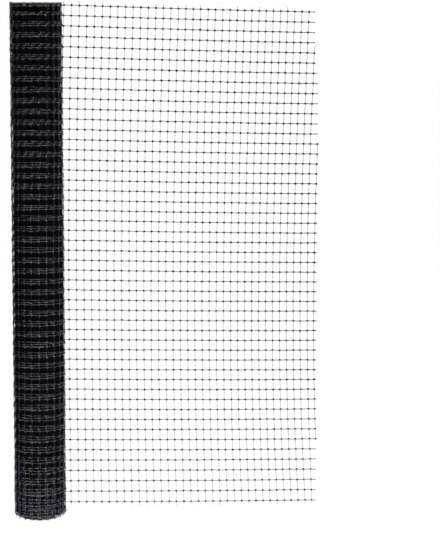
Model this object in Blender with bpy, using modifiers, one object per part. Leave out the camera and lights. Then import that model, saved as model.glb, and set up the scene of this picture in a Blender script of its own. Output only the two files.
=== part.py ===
"""Bird netting: a wound coil with its free end pulled out flat on the floor.

One strip of black plastic mesh is wound on itself. Its last turn comes down the
coil's -X side, passes under the coil at the seam and runs out along the floor to +X,
where it was cut off with scissors. The coil lies along Y and the floor is z = 0.

  net_roll   the coil: a spiral section with a ridge for each lengthwise strand
  net_sheet  the loose end, cut through in gaps of twice the real mesh

Lengths are in metres. s is the distance along the sheet from the coil's seam, and
turn runs from 0 to 1 round the coil: seam, -X side, top, +X side, seam.
"""
from math import asin, cos, pi, sin

import bmesh
import bpy

# The mesh
STRAND_COUNT = 50           # lengthwise strands, side by side along the coil
STRAND_PITCH = 0.020        # from one lengthwise strand to the next
END_STUB = 0.0065           # cut cross strands stick out this far past the outer strands

# The coil
COIL_RADIUS = 0.0520        # outermost turn, where it comes down at the seam
LAYER_STEP = 0.0045         # the spiral draws in by this in one turn
FLAT_SPOT = 0.010           # the coil is pressed flat over this width beside the seam
COIL_SIDES = 20             # faces round the coil
RIDGE_DEPTH = 0.0020        # the layers dip by this between two lengthwise strands
RIDGE_WAVER = 0.0005        # neighbouring ridges differ by up to this
RIDGE_WAVER_STEP = 2.4      # radians from one ridge to the next, so that none repeats
END_RELIEF = 0.0015         # the turns' ends stand out and in by this
COIL_SHIFT = -0.0105        # the coil has run this far out of line with the sheet

# The sheet
SHEET_THICKNESS = 0.0015
SHEET_REACH = 0.547         # from the seam to the cut edge
SEAM_GAP = 0.0003           # parts the sheet from the coil's seam
GAP_COLUMNS, GAP_ROWS = 12, 25
GAP_PITCH = 0.0390          # along the sheet, twice the mesh
CORD_WIDTH = 0.0030         # what is left between two gaps
CORD_CROWN = 0.35           # share of the thickness by which a cord's sides are lower
LEAD_IN = 0.054             # uncut strip under the coil, which the first column ends
FLARE_AT_COIL = 0.005       # the cross strands bow: both ends lie further out than
FLARE_AT_CUT = 0.012        # the middle, by these at the two ends of the sheet
SKEW = 0.0025               # and their +Y ends lie further out than their -Y ends
CUT_SKEW = 0.003            # the cut edge leans back by this towards +Y
TOP_LENGTH_LOSS = 0.014     # the +Y edge runs in by this along the sheet
TOP_BEND = 0.3              # share of that loss which comes early
BOTTOM_LENGTH_LOSS = 0.0037  # and the -Y edge by this, late

NET_LENGTH = STRAND_PITCH * (STRAND_COUNT - 1)
COIL_LENGTH = NET_LENGTH + 2 * END_STUB
HALF_WIDTH = NET_LENGTH / 2 + 0.003   # the sheet lies a little stretched beside the coil
FLAT_ANGLE = asin(FLAT_SPOT / COIL_RADIUS)
COIL_HEIGHT = COIL_RADIUS * cos(FLAT_ANGLE)     # of the coil's axis over the floor
UNDER_COIL = SHEET_THICKNESS + SEAM_GAP         # the sheet passes below this

BLACK_NET = (0.018, 0.018, 0.021, 1.0)


def clear_scene():
    for old in list(bpy.data.objects):
        bpy.data.objects.remove(old, do_unlink=True)
    for old in list(bpy.data.collections):
        bpy.data.collections.remove(old)


def net_material(name, roughness):
    """Black polypropylene with a soft gloss."""
    material = bpy.data.materials.new(name)
    material.use_nodes = True
    shader = material.node_tree.nodes["Principled BSDF"]
    shader.inputs["Base Color"].default_value = BLACK_NET
    shader.inputs["Roughness"].default_value = roughness
    shader.inputs["Metallic"].default_value = 0.0
    material.diffuse_color = BLACK_NET
    return material


def new_part(name, mesh, roughness):
    part = bpy.data.objects.new(name, mesh)
    mesh.materials.append(net_material(name.replace("_", " "), roughness))
    collection = bpy.data.collections["bird netting roll"]
    collection.objects.link(part)
    return part


# ---------------------------------------------------------------------------- coil

def coil_turns():
    """The corners of the coil's section: the flat spot's two, then even steps."""
    flat = FLAT_ANGLE / (2 * pi)
    return [0.0] + [flat + (1 - flat) * k / (COIL_SIDES - 1) for k in range(COIL_SIDES)]


def coil_point(radius, turn, y):
    """A point of the coil, kept above the floor, or above the sheet past the seam."""
    lowest = 0.0 if turn < 0.5 else UNDER_COIL
    x = -sin(2 * pi * turn) * radius
    z = COIL_HEIGHT - cos(2 * pi * turn) * radius
    return (x, y + COIL_SHIFT, max(z, lowest))


def side_rings():
    """(y, dip) of each ring of corners: ends, ridges and the dips between them."""
    rings = [(-COIL_LENGTH / 2, RIDGE_DEPTH / 2)]
    for strand in range(STRAND_COUNT):
        y = (strand - (STRAND_COUNT - 1) / 2) * STRAND_PITCH
        waver = RIDGE_WAVER * (0.5 + 0.5 * sin(RIDGE_WAVER_STEP * strand))
        rings.append((y, waver))
        if strand < STRAND_COUNT - 1:
            rings.append((y + STRAND_PITCH / 2, RIDGE_DEPTH))
    rings.append((COIL_LENGTH / 2, RIDGE_DEPTH / 2))
    return rings


def side_ring(bm, y, dip):
    """One spiral round of corners. The weight presses the dips out at the flat spot."""
    ring = []
    for turn in coil_turns():
        pressed = 0.0 if turn <= FLAT_ANGLE / (2 * pi) + 1e-6 else 1.0
        radius = COIL_RADIUS - LAYER_STEP * turn - dip * pressed
        ring.append(bm.verts.new(coil_point(radius, turn, y)))
    return ring


def end_rings(bm, sign, dip):
    """Half-turns of one spiral, out and in by turns, down to the coil's middle."""
    count = round(2 * COIL_RADIUS / LAYER_STEP) + 1
    rings = []
    for k in range(count + 1):
        ring = []
        for turn in coil_turns():
            outer = 1.0 if k == 0 and turn > FLAT_ANGLE / (2 * pi) + 1e-6 else 0.0
            if k == 2 and turn == 0.0:
                outer = 1.0
            radius = COIL_RADIUS - LAYER_STEP * (k / 2 + turn) - dip * outer
            radius = max(radius, 0.0)
            relief = END_RELIEF * (k % 2) * min(1.0, radius / LAYER_STEP)
            y = sign * (COIL_LENGTH / 2 - relief)
            ring.append(bm.verts.new(coil_point(radius, turn, y)))
        rings.append(ring)
    return rings


def bridge(bm, ring_a, ring_b):
    for k in range(len(ring_a) - 1):
        bm.faces.new((ring_a[k], ring_a[k + 1], ring_b[k + 1], ring_b[k]))


def build_coil():
    bm = bmesh.new()
    places = side_rings()
    sides = [side_ring(bm, y, dip) for y, dip in places]
    for ring_a, ring_b in zip(sides, sides[1:]):
        bridge(bm, ring_a, ring_b)
        bm.faces.new((ring_a[-1], ring_a[0], ring_b[0], ring_b[-1]))    # the seam
    for sign in (-1, 1):
        rings = end_rings(bm, sign, places[0][1])
        for ring_a, ring_b in zip(rings, rings[1:]):
            bridge(bm, ring_a, ring_b)
    bmesh.ops.remove_doubles(bm, verts=bm.verts, dist=1e-6)
    bmesh.ops.dissolve_degenerate(bm, edges=bm.edges, dist=1e-6)
    open_edges = [edge for edge in bm.edges if edge.is_boundary]
    bmesh.ops.holes_fill(bm, edges=open_edges, sides=4)
    bmesh.ops.recalc_face_normals(bm, faces=bm.faces)
    mesh = bpy.data.meshes.new("net_roll")
    bm.to_mesh(mesh)
    bm.free()
    mesh.shade_smooth()
    mesh.set_sharp_from_angle(angle=pi / 5)
    return new_part("net_roll", mesh, 0.5)


# --------------------------------------------------------------------------- sheet

def sheet_edges(s):
    """The y of the sheet's two outer strands at s: they close in along the sheet."""
    along = min(max((s - LEAD_IN) / (SHEET_REACH - LEAD_IN), 0.0), 1.0)
    left = 1 - along
    top = HALF_WIDTH - TOP_LENGTH_LOSS * (1 - (1 - TOP_BEND) * left - TOP_BEND * left ** 2)
    bottom = -HALF_WIDTH + BOTTOM_LENGTH_LOSS * along ** 2
    return bottom, top


def sheet_point(column, row):
    """A corner of the gap grid. Column 0 is the seam and 1 the first cross line; the
    last column is the cut edge. Row 0 and the last row are the cut strand ends."""
    across = min(max((row - 1) / GAP_ROWS, 0.0), 1.0)
    side = 2 * across - 1                     # -1 at the -Y strand, +1 at the +Y one
    if column == 0:
        s = SEAM_GAP
    elif column == GAP_COLUMNS + 2:
        s = SHEET_REACH - CUT_SKEW * (1 + side)
    else:
        s = LEAD_IN + GAP_PITCH * (column - 1)
        along = (column - 1) / GAP_COLUMNS
        flare = FLARE_AT_COIL + (FLARE_AT_CUT - FLARE_AT_COIL) * along
        s += flare * side ** 2 + SKEW * side
    bottom, top = sheet_edges(s)
    y = bottom + (top - bottom) * across
    if row == 0:
        y -= END_STUB
    if row == GAP_ROWS + 2:
        y += END_STUB
    return (s, y, 0.0)


def build_sheet():
    bm = bmesh.new()
    columns, rows = GAP_COLUMNS + 3, GAP_ROWS + 3
    grid = [[bm.verts.new(sheet_point(i, j)) for j in range(rows)] for i in range(columns)]
    cells = []
    for i in range(columns - 1):
        for j in range(rows - 1):
            corners = (grid[i][j], grid[i + 1][j], grid[i + 1][j + 1], grid[i][j + 1])
            face = bm.faces.new(corners)
            if i > 0:
                cells.append(face)
    bm.normal_update()
    rims = bmesh.ops.inset_individual(bm, faces=cells, thickness=CORD_WIDTH / 2,
                                      use_even_offset=True)["faces"]
    outer = [face for face in rims if any(edge.is_boundary for edge in face.edges)]
    bmesh.ops.delete(bm, geom=cells + outer, context="FACES")
    crowns = {vert for line in grid for vert in line}
    bm.verts.index_update()
    middles = [vert.index for vert in bm.verts if vert in crowns]
    mesh = bpy.data.meshes.new("net_sheet")
    bm.to_mesh(mesh)
    bm.free()
    part = new_part("net_sheet", mesh, 0.45)
    part.vertex_groups.new(name="cord middles").add(middles, 1.0, "REPLACE")
    solid = part.modifiers.new("thickness", "SOLIDIFY")
    solid.thickness = SHEET_THICKNESS
    solid.offset = 1.0
    solid.vertex_group = "cord middles"
    solid.thickness_vertex_group = 1 - CORD_CROWN
    return part


def centre_on_floor(parts):
    """Moves all parts so that the middle of their common box is at x = y = 0."""
    for axis in (0, 1):
        places = [v.co[axis] for part in parts for v in part.data.vertices]
        middle = (min(places) + max(places)) / 2
        for part in parts:
            part.location[axis] -= middle


def main():
    clear_scene()
    collection = bpy.data.collections.new("bird netting roll")
    bpy.context.scene.collection.children.link(collection)
    centre_on_floor([build_coil(), build_sheet()])


main()
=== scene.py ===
"""Looks of a bird netting roll: every strand and knot of the black plastic mesh.

The loose end lies flat on the floor. At the seam under the coil the same strands turn
up on the coil's -X side and go on inwards as one spiral. Lengths are in metres.

  s      distance along the sheet from the seam towards the cut edge
  cross  number of a cross strand, 0 for the first one beside the coil
  side   place across the net, -1 at its -Y outer strand and +1 at its +Y one
  turns  turns wound up since the seam, with the crest half way through each of them
"""

import bpy
import numpy as np
from mathutils import Euler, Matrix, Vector


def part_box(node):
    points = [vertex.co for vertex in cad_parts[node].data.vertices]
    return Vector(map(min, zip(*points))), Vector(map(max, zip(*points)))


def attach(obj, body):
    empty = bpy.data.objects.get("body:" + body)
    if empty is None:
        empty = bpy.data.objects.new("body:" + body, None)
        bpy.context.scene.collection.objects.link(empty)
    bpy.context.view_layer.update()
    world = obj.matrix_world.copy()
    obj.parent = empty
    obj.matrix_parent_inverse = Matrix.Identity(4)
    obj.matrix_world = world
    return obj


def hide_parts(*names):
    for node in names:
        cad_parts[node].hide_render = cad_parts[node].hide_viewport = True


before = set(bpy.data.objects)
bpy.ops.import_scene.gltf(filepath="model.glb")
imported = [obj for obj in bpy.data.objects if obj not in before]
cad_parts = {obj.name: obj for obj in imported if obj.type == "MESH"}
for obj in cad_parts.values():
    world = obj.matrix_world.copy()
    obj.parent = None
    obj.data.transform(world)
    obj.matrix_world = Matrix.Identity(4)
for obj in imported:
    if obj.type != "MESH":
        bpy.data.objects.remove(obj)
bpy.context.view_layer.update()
ROLL_LOW, ROLL_HIGH = (np.array(corner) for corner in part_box("net_roll"))
SHEET_LOW, SHEET_HIGH = (np.array(corner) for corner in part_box("net_sheet"))

# The mesh
STRAND_COUNT = 50            # lengthwise strands, from -Y to +Y
END_STUB = 0.0065            # cut cross strands stick out past the outer strands
LENGTHWISE_WIDTH = 0.00126   # of a lengthwise strand, which is a little flat
CROSS_WIDTH = 0.00075
STRAND_FLATNESS = 0.85
KNOT_SIZE = np.array((0.0049, 0.0048, 0.0018))   # along the net, across it, thick
HEIGHT = 0.00085             # of the strands' middles over the floor
UP = np.array((0.0, 0.0, 1.0))

# The loose sheet, laid on the part's own sheet
SEAM_GAP = 0.0003
SEAM_X = SHEET_LOW[0] - SEAM_GAP
REACH = SHEET_HIGH[0] - SEAM_X
SHEET_Y = (SHEET_LOW[1] + SHEET_HIGH[1]) / 2
HALF_WIDTH = (SHEET_HIGH[1] - SHEET_LOW[1]) / 2 - END_STUB
FIRST_CROSS = 0.0546         # s of the first cross strand beside the coil
CROSS_PITCH = 0.0151         # there, where the net is pulled most
PITCH_LOSS = 0.0000238       # and half of what it loses for each further cross strand
CROSS_COUNT = 35             # cross strands beside the coil
HIDDEN_CROSS = 3             # and under it
CUT_CROSS = 32               # the cross strand that has the values named AT_CUT
# The cross strands' lines: how much of side^2, side and side^3 they hold
FLARE_AT_COIL = 0.0051
FLARE_AT_CUT = 0.0129
SKEW_AT_COIL = 0.0032
SKEW_AT_CUT = 0.0059
SWEEP_AT_COIL = 0.0010
SWEEP_AT_CUT = -0.0043
# How far the cut edge lies back from the reach, from side to side
CUT_BACK = ((-1, 0.715, 0.755, 0.84, 0.86),
            (0.0015, 0.0010, 0.0058, 0.0062, 0.0074))
# How far the +Y and -Y outer strands have closed in at the cut
HIGH_INSET = 0.014
HIGH_BEND = 0.3              # share of it that bends away, where 0 is straight
LOW_INSET = 0.0037
EDGE_STRETCH = 0.0190        # the rows lie closer in the middle than at the edges
ROW_BOW = (0.0029, 0.0031, 0.0049)   # and nearer +Y: at the coil, at the cut, at the edges
# How far the last two cross strands have moved since the net was cut, from side to side
CUT_EASE = {33: ((-1, -0.93, -0.88, -0.3, 0, 0.1, 0.6, 0.7, 0.85, 0.87),
                 (-0.0012, 0, 0.0009, 0.0009, 0.0004, -0.0004, -0.0004, 0, 0, 0.0022)),
            34: ((-0.8, -0.45), (-0.0008, 0))}
# The outer rows of knots and their longest cut ends along Y
STUBS = ((0, -0.0082), (-1, 0.0080))
STUB_LOSS = 0.7              # and the most that chance takes off them, as a share
STUB_SWAY = 0.0004
STUB_BOW = 0.0001
STRAND_BOW = 0.00008
STRAND_SWELL = 0.55          # how much wider a strand is where it runs into a knot
MOST_THICK = 0.0013
LEAST_END = 0.0004           # a strand with less than this before the cut falls off
KNOT_SCATTER = 0.00014
KNOT_SIZE_SCATTER = 0.035
# Shares by which strands are wider at the cut, at +Y, in mid width and there at the cut
WEAR_CUT, WEAR_SIDE, WEAR_MIDDLE, WEAR_CUT_MIDDLE = 0.11, 0.13, 0.04, 0.16

# The coil
AXIS_X = SEAM_X
COIL_Y = (ROLL_LOW[1] + ROLL_HIGH[1]) / 2
COIL_HALF = (ROLL_HIGH[1] - ROLL_LOW[1]) / 2
OUTER_RADIUS = 0.0506        # middle of the outermost layer
LAYER_PITCH = 0.0007
AXIS_HEIGHT = 0.0503
TURNS = 50
CORE_TURNS = 5               # the turns over the core are made strand by strand
ROLL_CROSS_PITCH = 0.0149
INDEX_AT_SEAM = -0.385       # place of the seam among the coil's cross strands
INDEX_AT_CREST = 10.5        # and of the crest's highest line over it
CREST_ROWS = (0.0095, 0.4970, -0.0014, 0.0064)   # the rows' y: shares of side^0 to side^3
BUNCHED_ROWS = (0.0036, 0.0)         # the last two's distances from the coil's +Y end
SEAM_TURNS = 0.23            # turns in which the rows go over from the sheet's to these
# The layers bulge in waves: how high, and waves around, twist and waves across
BULGE = 0.0005
BULGE_AROUND, BULGE_TWIST, BULGE_ACROSS = 5, 9, 13
# How far back along the spiral the cross strands' -Y ends lag where each turn passes the
# crest, and the share of it along the coil: the +Y half runs ahead
TURN_LEAN = (0.0026, 0.0064, 0.0102)
LEAN_SPREAD = ((-1, -0.85, -0.5, 0.12, 0.4, 1), (-1, -0.75, -0.25, 0, 0.6, 0.8))
# How far each turn has run towards +Y where it passes the crest
TURN_DRIFT = (0.0, 0.0042, 0.0084)
DRIFT_SPREAD = ((-1, -0.96, -0.88, -0.7, -0.3, 0.9, 0.95),
                (1.45, 1.45, 1.3, 1.2, 1.05, 0.95, 0))
# and how far some turns' outer strands have slid back towards the -Y end
END_DRIFT = (0.0, 0.0, 0.0, -0.0072, -0.0118, -0.0118)
END_SPREAD = ((-0.955, -0.9), (1, 0))
# How far the coil's end faces stand out for each metre below the crest
END_SLANT = ((-1, -0.9, 0.7, 0.95), (-0.045, 0, 0, 0.1))
# Cut ends of the wound cross strands: their reach at +Y, the shares of the reach that
# they keep, how far they miss the -Y end face, and their sway
HIGH_STUB = 0.0012
STUB_SHARES = (0.35, 1.0)
FACE_MISS = (-0.0008, 0.0010)
WOUND_STUB_SWAY = 0.0006
# Scatter of the wound knots: along and across the net, through it, and in size
WOUND_SCATTER = 0.0003
LIFT_SCATTER = 0.00025
WOUND_SIZE_SCATTER = 0.08
WOUND_KNOT_SHAPE = (1, 1, 1.3)       # squeezed less than on the floor
WOUND_SWELL = 0.5            # how much wider strands are at knots, lengthwise
WOUND_CROSS_SWELL = 0.15     # and across
SAG, SAG_SCATTER = -0.0002, 0.0001   # of cross strands between knots, towards the core
CORE_INSETS = (0.009, 0.0025)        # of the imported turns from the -Y and +Y ends
CORE_RINGS = 99
CORE_SIDES = 40
CORE_RIB = 0.001

# The plastic's blotches and fine drawing marks
BLOTCHES = {"Scale": 90.0, "Detail": 3.0, "Roughness": 0.6}
MARKS = {"Scale": 2600.0, "Detail": 2.0, "Roughness": 0.55}
MARKS_GLOSS = 0.06           # how much the marks change the roughness
MARKS_RELIEF = {"Strength": 0.3, "Distance": 0.00001}

# The studio
CAMERA_TILT = np.radians(4.5)
CAMERA_DISTANCE = 2.945
CAMERA_LENS = 100.0
SENSOR_WIDTH = 36.0
VIEW_CENTRE = Vector((SEAM_X + 0.3539, SHEET_Y - 0.0218, 0.0))
FLOOR_SIZE = 24.0
FLOOR_GLOW = 0.975
HORIZON_COLOUR = (0.95, 0.95, 0.95, 1.0)
DOME_COLOUR = (0.04, 0.04, 0.044, 1.0)
HORIZON_EDGE = 12.0          # how quickly the dome and the glow leave the horizon
GLOW_COLOURS = ((0.22, 0.24, 0.32, 1.0), (1.15, 1.08, 1.4, 1.0))   # from -X, from +X
# Name, place, target, width and height, power and colour of each light
SIDE_TARGET, SIDE_SIZE, SIDE_COLOUR = (-0.25, -0.45, 0.05), (0.6, 0.4), (0.55, 0.64, 1.0)
LIGHTS = (
    ("key", (-0.2, -3.6, 2.3), (-0.2, -0.1, 0), (8.4, 1.14), 1100.0, (0.98, 1, 0.97)),
    ("end glow", (-0.25, -1.05, 2.0), (-0.25, -0.45, 0), (2.4, 0.2), 9.0, (0.42, 0.6, 1.0)),
    ("side glow", (-1.8, -1.09, 0.5), SIDE_TARGET, SIDE_SIZE, 20.0, SIDE_COLOUR),
    ("side glow", (1.3, -1.09, 0.5), SIDE_TARGET, SIDE_SIZE, 32.0, SIDE_COLOUR),
)

rng = np.random.default_rng(20)


# ------------------------------------------------------------------------- meshes

def add_mesh(name, points, faces, material):
    """A smooth object from one array of points and arrays of faces with equal sides."""
    mesh = bpy.data.meshes.new(name)
    sides = np.concatenate([np.full(len(group), group.shape[1]) for group in faces])
    corners = np.concatenate([group.ravel() for group in faces]).astype(np.int32)
    mesh.vertices.add(len(points))
    mesh.vertices.foreach_set("co", np.asarray(points, np.float32).ravel())
    mesh.loops.add(len(corners))
    mesh.loops.foreach_set("vertex_index", corners)
    starts = np.concatenate([[0], np.cumsum(sides)[:-1]]).astype(np.int32)
    mesh.polygons.add(len(sides))
    mesh.polygons.foreach_set("loop_start", starts)
    mesh.polygons.foreach_set("loop_total", sides.astype(np.int32))
    mesh.polygons.foreach_set("use_smooth", np.ones(len(sides), bool))
    mesh.update(calc_edges=True)
    mesh.validate()
    mesh.materials.append(material)
    piece = bpy.data.objects.new(name, mesh)
    bpy.context.scene.collection.objects.link(piece)
    return piece


def joined(shapes):
    """Several (points, faces) shapes as one, with the faces renumbered."""
    points, faces, start = [], {}, 0
    for shape_points, shape_faces in shapes:
        points.append(shape_points)
        for group in shape_faces:
            faces.setdefault(group.shape[1], []).append(group + start)
        start += len(shape_points)
    return np.concatenate(points), [np.concatenate(groups) for groups in faces.values()]


def unit(vectors):
    """Vectors divided by their lengths."""
    return vectors / np.maximum(np.linalg.norm(vectors, axis=-1, keepdims=True), 1e-12)


def tubes(paths, out, width, thickness, sides):
    """Closed tubes along paths, an array of (tube, station, xyz).

    The ring at a station is path + across * cos(a) * width / 2 + up * sin(a) *
    thickness / 2, where across is square to the path and to the direction out."""
    count, stations = paths.shape[:2]
    along = unit(np.gradient(paths, axis=1))
    across = unit(np.cross(out, along))
    up = np.cross(along, across)
    angle = 2 * np.pi * (np.arange(sides) + 0.5) / sides
    half_width = np.broadcast_to(width, (count, stations))[..., None, None] / 2
    half_height = np.broadcast_to(thickness, (count, stations))[..., None, None] / 2
    rings = (paths[:, :, None]
             + across[:, :, None] * np.cos(angle)[:, None] * half_width
             + up[:, :, None] * np.sin(angle)[:, None] * half_height)
    index = np.arange(count * stations * sides).reshape(count, stations, sides)
    turned = np.roll(index, -1, axis=2)
    walls = np.stack([index[:, :-1], turned[:, :-1], turned[:, 1:], index[:, 1:]], -1)
    caps = np.concatenate([index[:, 0, ::-1], index[:, -1]])
    return rings.reshape(-1, 3), [walls.reshape(-1, 4), caps]


def lump_form(segments, rings):
    """A unit ball's points and faces: segments round it, rings from pole to pole.

    A point is (sin p * cos q, sin p * sin q, cos p) at polar angle p and q round it."""
    polar = np.pi * np.arange(1, rings) / rings
    round_ = 2 * np.pi * np.arange(segments) / segments
    body = np.stack([np.sin(polar)[:, None] * np.cos(round_),
                     np.sin(polar)[:, None] * np.sin(round_),
                     np.cos(polar)[:, None] * np.ones(segments)], -1).reshape(-1, 3)
    points = np.concatenate([body, [[0, 0, 1], [0, 0, -1]]])
    index = np.arange((rings - 1) * segments).reshape(rings - 1, segments)
    turned = np.roll(index, -1, axis=1)
    walls = np.stack([index[:-1], index[1:], turned[1:], turned[:-1]], -1).reshape(-1, 4)
    north = np.stack([np.full(segments, len(body)), index[0], turned[0]], -1)
    south = np.stack([np.full(segments, len(body) + 1), turned[-1], index[-1]], -1)
    return points, walls, np.concatenate([north, south])


def lumps(places, along, out, size, segments, rings):
    """A ball at each place, sized along the net, across it and through it: a point is
    the place + the unit ball's x, y and z * half the size, along these three ways."""
    form, walls, fans = lump_form(segments, rings)
    out = unit(np.broadcast_to(out, along.shape))
    along = unit(along - (along * out).sum(-1, keepdims=True) * out)
    across = np.cross(out, along)
    axes = np.stack([along, across, out], 1) * size[..., :, None] / 2
    points = places[:, None] + form @ axes
    shift = np.arange(len(places))[:, None, None] * len(form)
    return points.reshape(-1, 3), [(walls + shift).reshape(-1, 4),
                                   (fans + shift).reshape(-1, 3)]


# ---------------------------------------------------------------------- materials

class Signal:
    """A shader socket that adds Math nodes when it is used in an expression."""

    def __init__(self, tree, socket):
        self.tree, self.socket = tree, socket

    def math(self, operation, *values):
        return add_node(self.tree, "ShaderNodeMath", {"operation": operation},
                        dict(enumerate(values)))

    def __add__(self, other):
        return self.math("ADD", self, other)

    def __sub__(self, other):
        return self.math("SUBTRACT", self, other)

    def __rsub__(self, other):
        return self.math("SUBTRACT", other, self)

    def __mul__(self, other):
        return self.math("MULTIPLY", self, other)

    __radd__ = __add__
    __rmul__ = __mul__


def add_node(tree, kind, settings, inputs, output=0):
    """A node with its settings made first, then its sockets' values or links."""
    node = tree.nodes.new(kind)
    for name, value in settings.items():
        setattr(node, name, value)
    for name, value in inputs.items():
        if isinstance(value, Signal):
            tree.links.new(value.socket, node.inputs[name])
        else:
            node.inputs[name].default_value = value
    return Signal(tree, node.outputs[output])


def mix_colours(tree, factor, first, second):
    """The first colour where the factor is 0, and the second where it is 1."""
    return add_node(tree, "ShaderNodeMix", {"data_type": "RGBA"},
                    {0: factor, 6: first, 7: second}, 2)


def feed(tree, signal, shader, socket):
    """Links a signal to one of a shader's sockets."""
    tree.links.new(signal.socket, shader.inputs[socket])


def new_material(name, base, roughness, specular):
    """A material with its tree and shader, plain as yet."""
    material = bpy.data.materials.new(name)
    material.use_nodes = True
    tree = material.node_tree
    shader = tree.nodes["Principled BSDF"]
    shader.inputs["Base Color"].default_value = (*base, 1.0)
    shader.inputs["Roughness"].default_value = roughness
    shader.inputs["Specular IOR Level"].default_value = specular
    return material, tree, shader


def net_plastic(name, dark, light, roughness, roughness_spread, specular):
    """Black polypropylene drawn into strands: faint blotches, fine drawing marks and
    a gloss that changes from strand to strand.

    Roughness is its middle value + (blotch - 0.5) * its spread + (mark - 0.5) *
    MARKS_GLOSS."""
    material, tree, shader = new_material(name, dark, roughness, specular)
    place = add_node(tree, "ShaderNodeTexCoord", {}, {}, "Object")
    blotch = add_node(tree, "ShaderNodeTexNoise", {}, {"Vector": place, **BLOTCHES})
    mark = add_node(tree, "ShaderNodeTexNoise", {}, {"Vector": place, **MARKS})
    colour = mix_colours(tree, blotch, (*dark, 1.0), (*light, 1.0))
    feed(tree, colour, shader, "Base Color")
    gloss = roughness + (blotch - 0.5) * roughness_spread + (mark - 0.5) * MARKS_GLOSS
    feed(tree, gloss, shader, "Roughness")
    bump = add_node(tree, "ShaderNodeBump", {}, {"Height": mark, **MARKS_RELIEF})
    feed(tree, bump, shader, "Normal")
    return material


# ------------------------------------------------------------------ the loose sheet

def sheet_edges(s):
    """The y of the two outer strands at s: they close in along the sheet.

    With t from 0 at the first cross strand to 1 at the cut, the -Y one closes in by
    LOW_INSET * t^2 and the +Y one by HIGH_INSET * (1 - (1 - HIGH_BEND) * (1 - t) -
    HIGH_BEND * (1 - t)^2)."""
    along = np.clip((s - FIRST_CROSS) / (REACH - FIRST_CROSS), 0, 1)
    left = 1 - along
    high = HALF_WIDTH - HIGH_INSET * (1 - (1 - HIGH_BEND) * left - HIGH_BEND * left ** 2)
    low = -HALF_WIDTH + LOW_INSET * along ** 2
    return low, high


def sheet_knots(cross, side):
    """Places of the knots. A cross strand's s is first + pitch * n - loss * n^2, with
    flare * side^2 + skew * side + sweep * side^3, and the last ones have eased.

    The y lies between the two outer strands at side + stretch * (side^3 - side), and
    further towards +Y by (1 - side^2) * (bow + bow at the edges * side^2)."""
    s = FIRST_CROSS + CROSS_PITCH * cross - PITCH_LOSS * cross ** 2
    along = np.clip(cross / CUT_CROSS, 0, None)
    flare = FLARE_AT_COIL + (FLARE_AT_CUT - FLARE_AT_COIL) * along
    skew = SKEW_AT_COIL + (SKEW_AT_CUT - SKEW_AT_COIL) * along
    sweep = SWEEP_AT_COIL + (SWEEP_AT_CUT - SWEEP_AT_COIL) * along
    s = s + flare * side ** 2 + skew * side + sweep * side ** 3
    for number, ease in CUT_EASE.items():
        s = s + (cross == number) * np.interp(side, *ease)
    low, high = sheet_edges(s)
    spread = side + EDGE_STRETCH * (side ** 3 - side)
    at_coil, at_cut, at_edges = ROW_BOW
    bow = (1 - side ** 2) * (at_coil + (at_cut - at_coil) * along + at_edges * side ** 2)
    y = (low + high) / 2 + (high - low) / 2 * spread + bow
    return np.stack([SEAM_X + s, SHEET_Y + y, np.full_like(y, HEIGHT)], -1)


def inside_cut(points):
    """Distance of points from the cut edge, positive on the coil's side of it."""
    side = (points[..., 1] - SHEET_Y) / HALF_WIDTH
    return SEAM_X + REACH - np.interp(side, *CUT_BACK) - points[..., 0]


def cut_off(starts, ends):
    """Strands from starts to ends, those past the cut edge dropped and those that
    cross it shortened to it."""
    kept = inside_cut(starts) > LEAST_END
    starts, ends = starts[kept], ends[kept]
    near, far = inside_cut(starts), inside_cut(ends)
    share = near / np.maximum(near - far, near)
    return starts, starts + (ends - starts) * share[:, None]


def strand_wear(points):
    """Strands are drawn out thinner towards -Y and towards the coil.

    The share is 1 + cut * (2 * t - 1) + side's * side + (middle + cut middle * t^4) *
    (1 - side^2), with t from 0 at the seam to 1 at the cut."""
    along = (points[..., 0] - SEAM_X) / REACH
    side = (points[..., 1] - SHEET_Y) / HALF_WIDTH
    middle = (WEAR_MIDDLE + WEAR_CUT_MIDDLE * along ** 4) * (1 - side ** 2)
    return 1 + WEAR_CUT * (2 * along - 1) + WEAR_SIDE * side + middle


def straight_strands(starts, ends, width, bow, stations, sides):
    """Strands between knots that swell where they run into them, a little bowed.

    At the share t of the way they are off the line by a random lean * 4 * t * (1 - t),
    and wider by STRAND_SWELL * |2 * t - 1|^3."""
    share = np.linspace(0, 1, stations)[:, None]
    paths = starts[:, None] * (1 - share) + ends[:, None] * share
    lean = rng.normal(0, bow, (len(starts), 1, 2)) * (4 * share * (1 - share))
    paths[..., :2] += lean
    swell = 1 + STRAND_SWELL * (2 * np.abs(share[:, 0] - 0.5)) ** 3
    widths = width * strand_wear(paths) * swell
    return tubes(paths, UP, widths, np.minimum(widths * STRAND_FLATNESS, MOST_THICK), sides)


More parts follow.
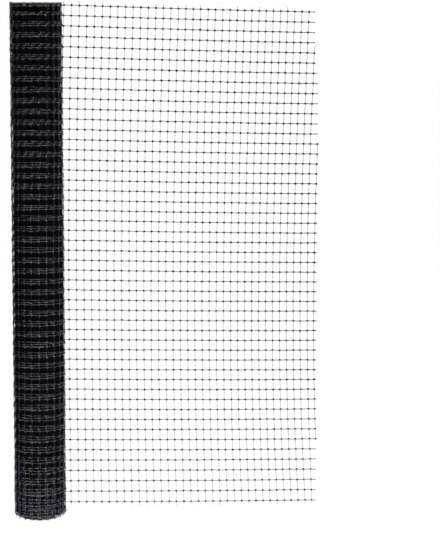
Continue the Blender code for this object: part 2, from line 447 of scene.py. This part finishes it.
def build_sheet(material):
    """The net between the seam and the cut edge: knots, strands and cut ends."""
    cross = np.arange(-HIDDEN_CROSS - 1, CROSS_COUNT + 2, dtype=float)
    side = np.linspace(-1, 1, STRAND_COUNT)
    knots = sheet_knots(*np.meshgrid(cross, side, indexing="ij"))
    knots[..., :2] += rng.normal(0, KNOT_SCATTER, knots.shape[:2] + (2,))
    knots[0, :, 0] = SEAM_X
    starts, ends = cut_off(knots[:-1].reshape(-1, 3), knots[1:].reshape(-1, 3))
    lengthwise = straight_strands(starts, ends, LENGTHWISE_WIDTH, STRAND_BOW, stations=4,
                                  sides=5)
    starts, ends = cut_off(knots[1:, :-1].reshape(-1, 3), knots[1:, 1:].reshape(-1, 3))
    crosswise = straight_strands(starts, ends, CROSS_WIDTH, STRAND_BOW, stations=4, sides=4)
    stubs = []
    for row, reach in STUBS:
        starts, _ = cut_off(knots[1:, row], knots[1:, row])
        ends = starts + (0, reach, 0)
        ends[:, 1] -= reach * rng.uniform(0, STUB_LOSS, len(ends))
        ends[:, 0] += rng.normal(0, STUB_SWAY, len(ends))
        stubs.append(straight_strands(starts, ends, CROSS_WIDTH, STUB_BOW, stations=3,
                                      sides=4))
    places = knots[1:].reshape(-1, 3)
    places = places[inside_cut(places) > 0]
    along = np.tile((1.0, 0.0, 0.0), (len(places), 1))
    size = KNOT_SIZE * rng.normal(1, KNOT_SIZE_SCATTER, (len(places), 1))
    knot_shapes = lumps(places, along, UP, size, segments=6, rings=4)
    shape = joined([lengthwise, crosswise, *stubs, knot_shapes])
    return add_mesh("loose_net", *shape, material)


# ------------------------------------------------------------------------- the coil

def coil_rows():
    """The y of the outermost turn's lengthwise strands on the crest, from -Y to +Y:
    a cubic in side. The last two are drawn in and bunched at the +Y end."""
    side = np.linspace(-1, 1, STRAND_COUNT)
    y = sum(share * side ** power for power, share in enumerate(CREST_ROWS))
    y[-2:] = COIL_Y + COIL_HALF - np.array(BUNCHED_ROWS)
    return side, y


def cross_turns():
    """The coil's cross strands as turns wound up. Whole numbers of cells lie between
    one crest and the next, so that the cross strands stand over one another."""
    crest = np.arange(TURNS) + 0.5
    around = 2 * np.pi * (OUTER_RADIUS - LAYER_PITCH * (crest + 0.5))
    cells = np.round(around / ROLL_CROSS_PITCH)
    index = INDEX_AT_CREST + np.concatenate([[0], np.cumsum(cells[:-1])])
    return np.interp(np.arange(np.floor(index[-1])), np.concatenate([[INDEX_AT_SEAM], index]),
                     np.concatenate([[0], crest]))


def by_turn(table, turns):
    """Values between those of a table that holds one for each crest, over and over."""
    crest = np.arange(TURNS + 1)
    return np.interp(turns, crest + 0.5, np.array(table)[crest % len(table)])


def turn_drift(turns, side):
    """How far towards +Y a turn has run: its drift times a spread that grows towards
    -Y and falls again at both ends, where all turns end nearly flush. What its outer
    strands have slid back goes with the cosine of the angle from the crest."""
    on_crest = np.clip(-np.cos(2 * np.pi * turns), 0, 1)
    drift = by_turn(TURN_DRIFT, turns) * np.interp(side, *DRIFT_SPREAD)
    return drift + by_turn(END_DRIFT, turns) * np.interp(side, *END_SPREAD) * on_crest


def end_slant(z, side):
    """How far the net stands out along Y near the coil's ends, at height z."""
    return (ROLL_HIGH[2] - z) * np.interp(side, *END_SLANT)


def coil_places(turns, side, row_y, lift):
    """Points of the wound net, and the direction out of it there.

    With the angle 2 * pi * turns and the radius OUTER_RADIUS - LAYER_PITCH * turns +
    bulge + lift, x is AXIS_X - sin(angle) * radius and z is AXIS_HEIGHT - cos(angle) *
    radius. The coil sits flat on the floor at the seam, where its rows are the loose
    sheet's: z is never below the layers that lie under it there."""
    lean = by_turn(TURN_LEAN, turns) * np.clip(2 * turns, 0, 1)
    lean = lean * np.interp(side, *LEAN_SPREAD)
    turns = turns + lean / (2 * np.pi * (OUTER_RADIUS - LAYER_PITCH * turns))
    angle = 2 * np.pi * turns
    bulge = BULGE * np.sin(BULGE_AROUND * angle + BULGE_TWIST * side) \
        * np.sin(BULGE_ACROSS * side + angle)
    radius = OUTER_RADIUS - LAYER_PITCH * turns + bulge + lift
    x = AXIS_X - np.sin(angle) * radius
    z = np.maximum(AXIS_HEIGHT - np.cos(angle) * radius,
                   HEIGHT + LAYER_PITCH * np.floor(turns + 0.5))
    away = np.exp(-(turns / SEAM_TURNS) ** 2)
    sheet_y = sheet_knots(np.full_like(side, -HIDDEN_CROSS), side)[..., 1]
    slant = end_slant(z, side)
    y = row_y + (sheet_y - row_y) * away + (turn_drift(turns, side) + slant) * (1 - away)
    out = np.stack([-np.sin(angle), np.zeros_like(angle), -np.cos(angle)], -1)
    return np.stack([x, y, z], -1), out


def cut_ends(knots, step, reach):
    """Outer ends of the cross strands of one edge: ragged, and within the coil."""
    ends = knots.copy()
    ends[:, 1] += step * rng.uniform(*STUB_SHARES, len(ends)) * reach
    if step < 0:
        limit = COIL_Y - COIL_HALF - rng.uniform(*FACE_MISS, len(ends))
        limit += end_slant(ends[:, 2], -1)
        ends[:, 1] = np.maximum(ends[:, 1], limit)
    ends[:, (0, 2)] += rng.normal(0, WOUND_STUB_SWAY, (len(ends), 2))
    return ends[:, None]


def refine(paths, between):
    """Stations spread evenly between those of the paths, between - 1 of them."""
    stations = paths.shape[1]
    place = np.arange((stations - 1) * between + 1) / between
    low = np.minimum(place.astype(int), stations - 2)
    share = (place - low)[:, None]
    return paths[:, low] * (1 - share) + paths[:, low + 1] * share


def wound_net(name, first_turn, last_turn, material, knot_form, sides, between=2,
              rows=slice(None)):
    """A stretch of the wound net with its strands and knots. Stations lie on the knots
    and between them, where the lengthwise strands run straight."""
    all_turns = cross_turns()
    first, last = np.searchsorted(all_turns, (first_turn, last_turn))
    turns = all_turns[first:last + 1]
    side, row_y = (values[rows] for values in coil_rows())
    # knots
    turn_grid, side_grid = np.meshgrid(turns, side, indexing="ij")
    around = 2 * np.pi * (OUTER_RADIUS - LAYER_PITCH * turn_grid)
    turn_grid = turn_grid + rng.normal(0, WOUND_SCATTER, turn_grid.shape) / around
    lift = rng.normal(0, LIFT_SCATTER, turn_grid.shape)
    knots, out = coil_places(turn_grid, side_grid, row_y, lift)
    knots[..., 1] += rng.normal(0, WOUND_SCATTER, knots.shape[:2])
    # lengthwise strands, one tube for each
    path = refine(np.swapaxes(knots, 0, 1), between)
    path_out = refine(np.swapaxes(out, 0, 1), between)
    width = LENGTHWISE_WIDTH * (1 + WOUND_SWELL * (np.arange(path.shape[1]) % between == 0))
    shapes = [tubes(path, path_out, width, width * STRAND_FLATNESS, sides)]
    # cross strands, with their cut ends
    whole, whole_out = [knots], [out]
    if side[0] == -1:
        whole.insert(0, cut_ends(knots[:, 0], -1, END_STUB))
        whole_out.insert(0, out[:, :1])
    if side[-1] == 1:
        whole.append(cut_ends(knots[:, -1], 1, HIGH_STUB))
        whole_out.append(out[:, -1:])
    path = refine(np.concatenate(whole, axis=1), between)
    path_out = refine(np.concatenate(whole_out, axis=1), between)
    at_knot = np.arange(path.shape[1]) % between == 0
    sag = rng.normal(SAG, SAG_SCATTER, path.shape[:2]) * ~at_knot
    path = path + path_out * sag[..., None]
    width = CROSS_WIDTH * (1 + WOUND_CROSS_SWELL * at_knot)
    shapes.append(tubes(path, path_out, width, width, sides=4))
    if knot_form:
        along = np.cross(out, np.array((0.0, 1.0, 0.0))).reshape(-1, 3)
        places = knots.reshape(-1, 3)
        size = KNOT_SIZE * WOUND_KNOT_SHAPE \
            * rng.normal(1, WOUND_SIZE_SCATTER, (len(places), 1))
        shapes.append(lumps(places, along, out.reshape(-1, 3), size, *knot_form))
    return add_mesh(name, *joined(shapes), material)


def build_core(radius, material):
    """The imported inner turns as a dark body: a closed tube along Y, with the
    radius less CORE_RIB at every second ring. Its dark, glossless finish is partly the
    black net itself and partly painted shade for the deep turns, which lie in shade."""
    low, high = CORE_INSETS
    y = np.linspace(COIL_Y - COIL_HALF + low, COIL_Y + COIL_HALF - high, CORE_RINGS)
    path = np.stack([np.full_like(y, AXIS_X), y, np.full_like(y, AXIS_HEIGHT)], -1)
    width = 2 * (radius - CORE_RIB * (np.arange(len(y)) % 2))
    return add_mesh("packed_turns", *tubes(path[None], UP, width[None], width[None],
                                           CORE_SIDES), material)


# -------------------------------------------------------------------------- studio

def build_camera():
    """Looks down on the net, from a little towards +Y."""
    camera = bpy.data.objects.new("camera", bpy.data.cameras.new("camera"))
    bpy.context.scene.collection.objects.link(camera)
    camera.data.lens = CAMERA_LENS
    camera.data.sensor_width = SENSOR_WIDTH
    offset = Vector((0.0, np.sin(CAMERA_TILT), np.cos(CAMERA_TILT))) * CAMERA_DISTANCE
    camera.location = VIEW_CENTRE + offset
    camera.rotation_euler = Euler((-CAMERA_TILT, 0.0, 0.0))
    bpy.context.scene.camera = camera


def build_light(name, place, target, size, power, colour):
    """A rectangular light at a place, turned to its target."""
    light = bpy.data.lights.new(name, "AREA")
    light.shape = "RECTANGLE"
    light.size, light.size_y = size
    light.energy = power
    light.color = colour
    lamp = bpy.data.objects.new(name, light)
    lamp.location = place
    lamp.visible_camera = False
    direction = Vector(target) - lamp.location
    lamp.rotation_euler = direction.to_track_quat("-Z", "Y").to_euler()
    bpy.context.scene.collection.objects.link(lamp)


def build_floor():
    """A pale sweep that is lit from beneath as well, so that shadows stay faint."""
    material, _, shader = new_material("pale floor", (0.01, 0.01, 0.01), roughness=0.9,
                                       specular=0.0)
    shader.inputs["Emission Color"].default_value = (1.0, 1.0, 1.0, 1.0)
    shader.inputs["Emission Strength"].default_value = FLOOR_GLOW
    bpy.ops.mesh.primitive_plane_add(size=FLOOR_SIZE)
    floor = bpy.context.object
    floor.name = "floor"
    floor.visible_glossy = False
    floor.data.materials.append(material)


def build_world():
    """A dim dome over a white horizon, and beneath it the glow that glossy strands see
    from the floor, stronger on the +X side."""
    world = bpy.data.worlds.new("studio")
    world.use_nodes = True
    tree = world.node_tree
    direction = add_node(tree, "ShaderNodeTexCoord", {}, {}, "Generated")
    sideways, height = (add_node(tree, "ShaderNodeSeparateXYZ", {}, {"Vector": direction}, axis)
                        for axis in "XZ")
    above = mix_colours(tree, height * HORIZON_EDGE, HORIZON_COLOUR, DOME_COLOUR)
    below = mix_colours(tree, sideways + 0.5, *GLOW_COLOURS)
    colour = mix_colours(tree, height * -HORIZON_EDGE, above, below)
    tree.links.new(colour.socket, tree.nodes["Background"].inputs["Color"])
    bpy.context.scene.world = world


def build_studio():
    bpy.context.scene.view_settings.view_transform = "Standard"
    build_floor()
    build_world()
    for light in LIGHTS:
        build_light(*light)
    build_camera()


def main():
    net = net_plastic("net plastic", dark=(0.0007, 0.0007, 0.0009),
                      light=(0.0018, 0.0018, 0.0024), roughness=0.13,
                      roughness_spread=0.04, specular=0.45)
    # The core's finish is partly the black net of the inner turns and partly painted shade:
    # matte and without gloss, it stands for the deep turns, which lie in shade.
    packed_net_and_shade = net_plastic("packed net and painted shade", dark=(0.0010, 0.0010, 0.0012),
                         light=(0.0018, 0.0018, 0.0022), roughness=0.85,
                         roughness_spread=0.2, specular=0.0)
    sheet = build_sheet(net)
    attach(sheet, "root")
    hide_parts("net_sheet")
    width, length = 2 * (HALF_WIDTH + END_STUB), REACH
    # The skin of the strands and knots comes to 0.301 of the net's width times length
    0.301 * width * length
    turns = [
        wound_net("outer_turns", 0, 3, net, knot_form=(6, 3), sides=5),
        wound_net("second_turns", 3, CORE_TURNS, net, knot_form=(4, 2), sides=4),
        wound_net("inner_ends_low", CORE_TURNS, TURNS - 1, net, knot_form=None, sides=3,
                  between=1, rows=slice(0, 3)),
        wound_net("inner_ends_high", CORE_TURNS, TURNS - 1, net, knot_form=None, sides=3,
                  between=1, rows=slice(-3, None)),
        build_core(OUTER_RADIUS - (CORE_TURNS - 0.5) * LAYER_PITCH, packed_net_and_shade),
    ]
    for piece in turns:
        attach(piece, "root")
        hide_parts("net_roll")
    build_studio()


main()
